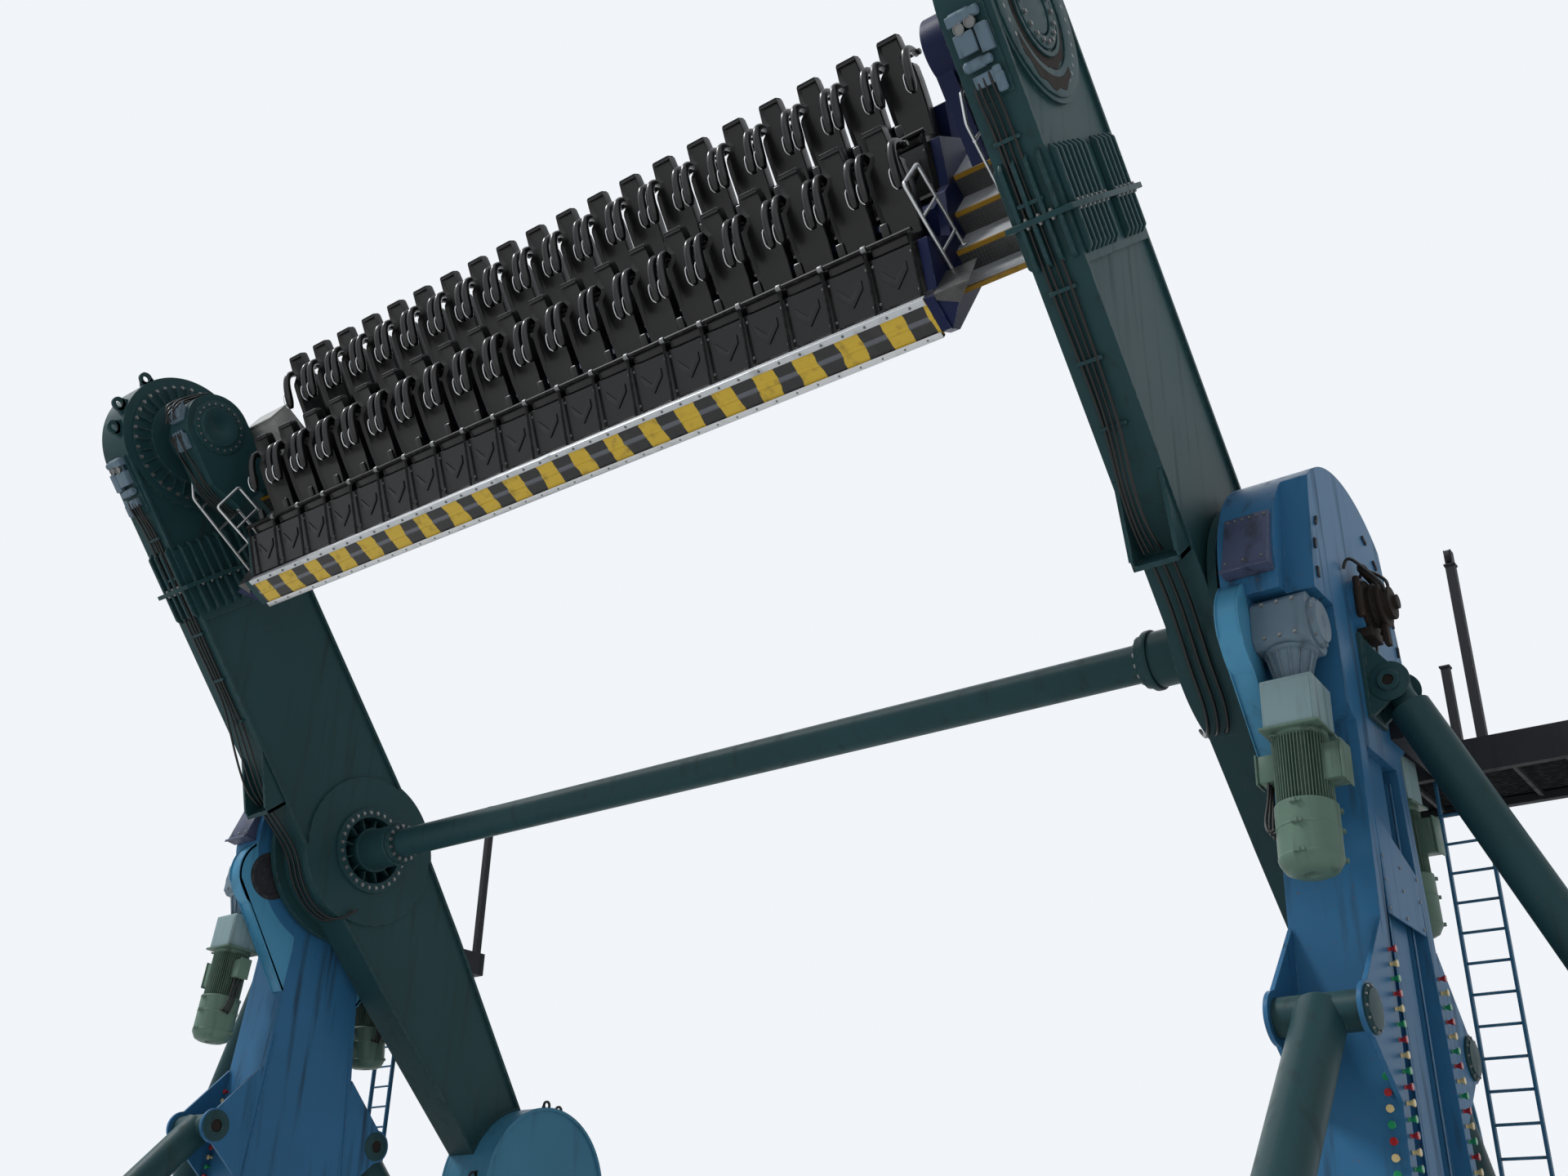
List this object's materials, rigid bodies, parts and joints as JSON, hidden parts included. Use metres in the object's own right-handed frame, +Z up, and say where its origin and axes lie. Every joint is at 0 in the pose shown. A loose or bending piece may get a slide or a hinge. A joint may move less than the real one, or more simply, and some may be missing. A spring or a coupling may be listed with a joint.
{
  "type": "swinging gondola ride",
  "caption": "Swinging gondola ride: two braced towers, counterweighted arms joined by a tube, and a two-row seat gondola with over-shoulder restraints.",
  "frame": {"origin": "on the ground under the middle of the main axis", "axes": "+X along the main axis, to the right as seen from the riders' front, +Y to the back, +Z up"},
  "size_m": [24.8, 13.2, 15.8664],
  "materials": {
    "tower_blue": "weathered blue gloss paint",
    "cover_blue": "pale blue gloss paint",
    "counterweight_blue": "pale blue paint",
    "arm_green": "dark blue-green gloss paint, dusty",
    "motor_green": "sage green machine paint",
    "gearbox_grey": "pale grey-green machine paint",
    "ladder_blue": "blue paint, worn on the rungs",
    "platform_dark": "dark dusty paint",
    "frame_navy": "navy gloss paint",
    "frame_dark": "black satin paint",
    "skirt_black": "black with yellow hazard bands",
    "seat_plastic": "moulded black",
    "restraint_pad": "skinned foam, black gloss",
    "tread_aluminium": "diamond plate with yellow nosings",
    "handrail_steel": "satin tube",
    "cabinet_grey": "light grey paint"
  },
  "bodies": {
    "root": {"tower_column_right": "tower_blue", "tower_column_left": "tower_blue", "tower_head_right": "tower_blue", "tower_head_left": "tower_blue", "gear_covers_right": "cover_blue", "gear_covers_left": "cover_blue", "gearboxes_right": "gearbox_grey", "gearboxes_left": "gearbox_grey", "drive_motors_right": "motor_green", "drive_motors_left": "motor_green", "strut_brackets_right": "arm_green", "strut_brackets_left": "arm_green", "struts_right": "arm_green", "struts_left": "arm_green", "strut_feet_right": "arm_green", "strut_feet_left": "arm_green", "ladder_right": "ladder_blue", "ladder_left": "ladder_blue", "service_platform_right": "platform_dark", "service_platform_left": "platform_dark", "platform_posts_right": "platform_dark", "platform_posts_left": "platform_dark"},
    "swing_arms": {"arm_right": "arm_green", "arm_left": "arm_green", "arm_splice_right": "arm_green", "arm_splice_left": "arm_green", "counterweight_right": "counterweight_blue", "counterweight_left": "counterweight_blue", "slewing_ring_right": "arm_green", "slewing_ring_left": "arm_green", "gondola_bearing_right": "arm_green", "gondola_bearing_left": "arm_green", "arm_fittings_right": "arm_green", "arm_fittings_left": "arm_green", "cross_tube": "arm_green", "hub_rings": "arm_green"},
    "gondola": {"gondola_end_right": "frame_navy", "gondola_end_left": "arm_green", "end_steps_right": "tread_aluminium", "end_steps_left": "tread_aluminium", "end_handrails": "handrail_steel", "control_cabinet": "cabinet_grey", "gondola_frame": "frame_navy", "front_skirt": "skirt_black", "rear_panel": "frame_navy", "row_beams": "frame_dark", "leg_pans": "seat_plastic", "leg_rails": "frame_dark", "floor_front": "frame_dark", "floor_back": "frame_dark", "seat_backs_front": "seat_plastic", "seat_backs_back": "seat_plastic", "seat_bases_front": "seat_plastic", "seat_bases_back": "seat_plastic"},
    "harness_row_front": {"harnesses_front": "restraint_pad"},
    "harness_row_back": {"harnesses_back": "restraint_pad"}
  },
  "joints": [
    {"name": "main_axis", "type": "hinge", "parent": "root", "child": "swing_arms", "pos_m": [0, 0, 9.6], "axis": [1, 0, 0], "continuous": true},
    {"name": "gondola_axis", "type": "hinge", "parent": "swing_arms", "child": "gondola", "pos_m": [0, -4.17812, 14.57929], "axis": [1, 0, 0], "continuous": true},
    {"name": "restraints_front", "type": "hinge", "parent": "gondola", "child": "harness_row_front", "pos_m": [0, -3.68488, 14.19199], "axis": [-1, 0, 0], "range_deg": [0, 75]},
    {"name": "restraints_back", "type": "hinge", "parent": "gondola", "child": "harness_row_back", "pos_m": [0, -3.39006, 15.69262], "axis": [-1, 0, 0], "range_deg": [0, 75]}
  ]
}
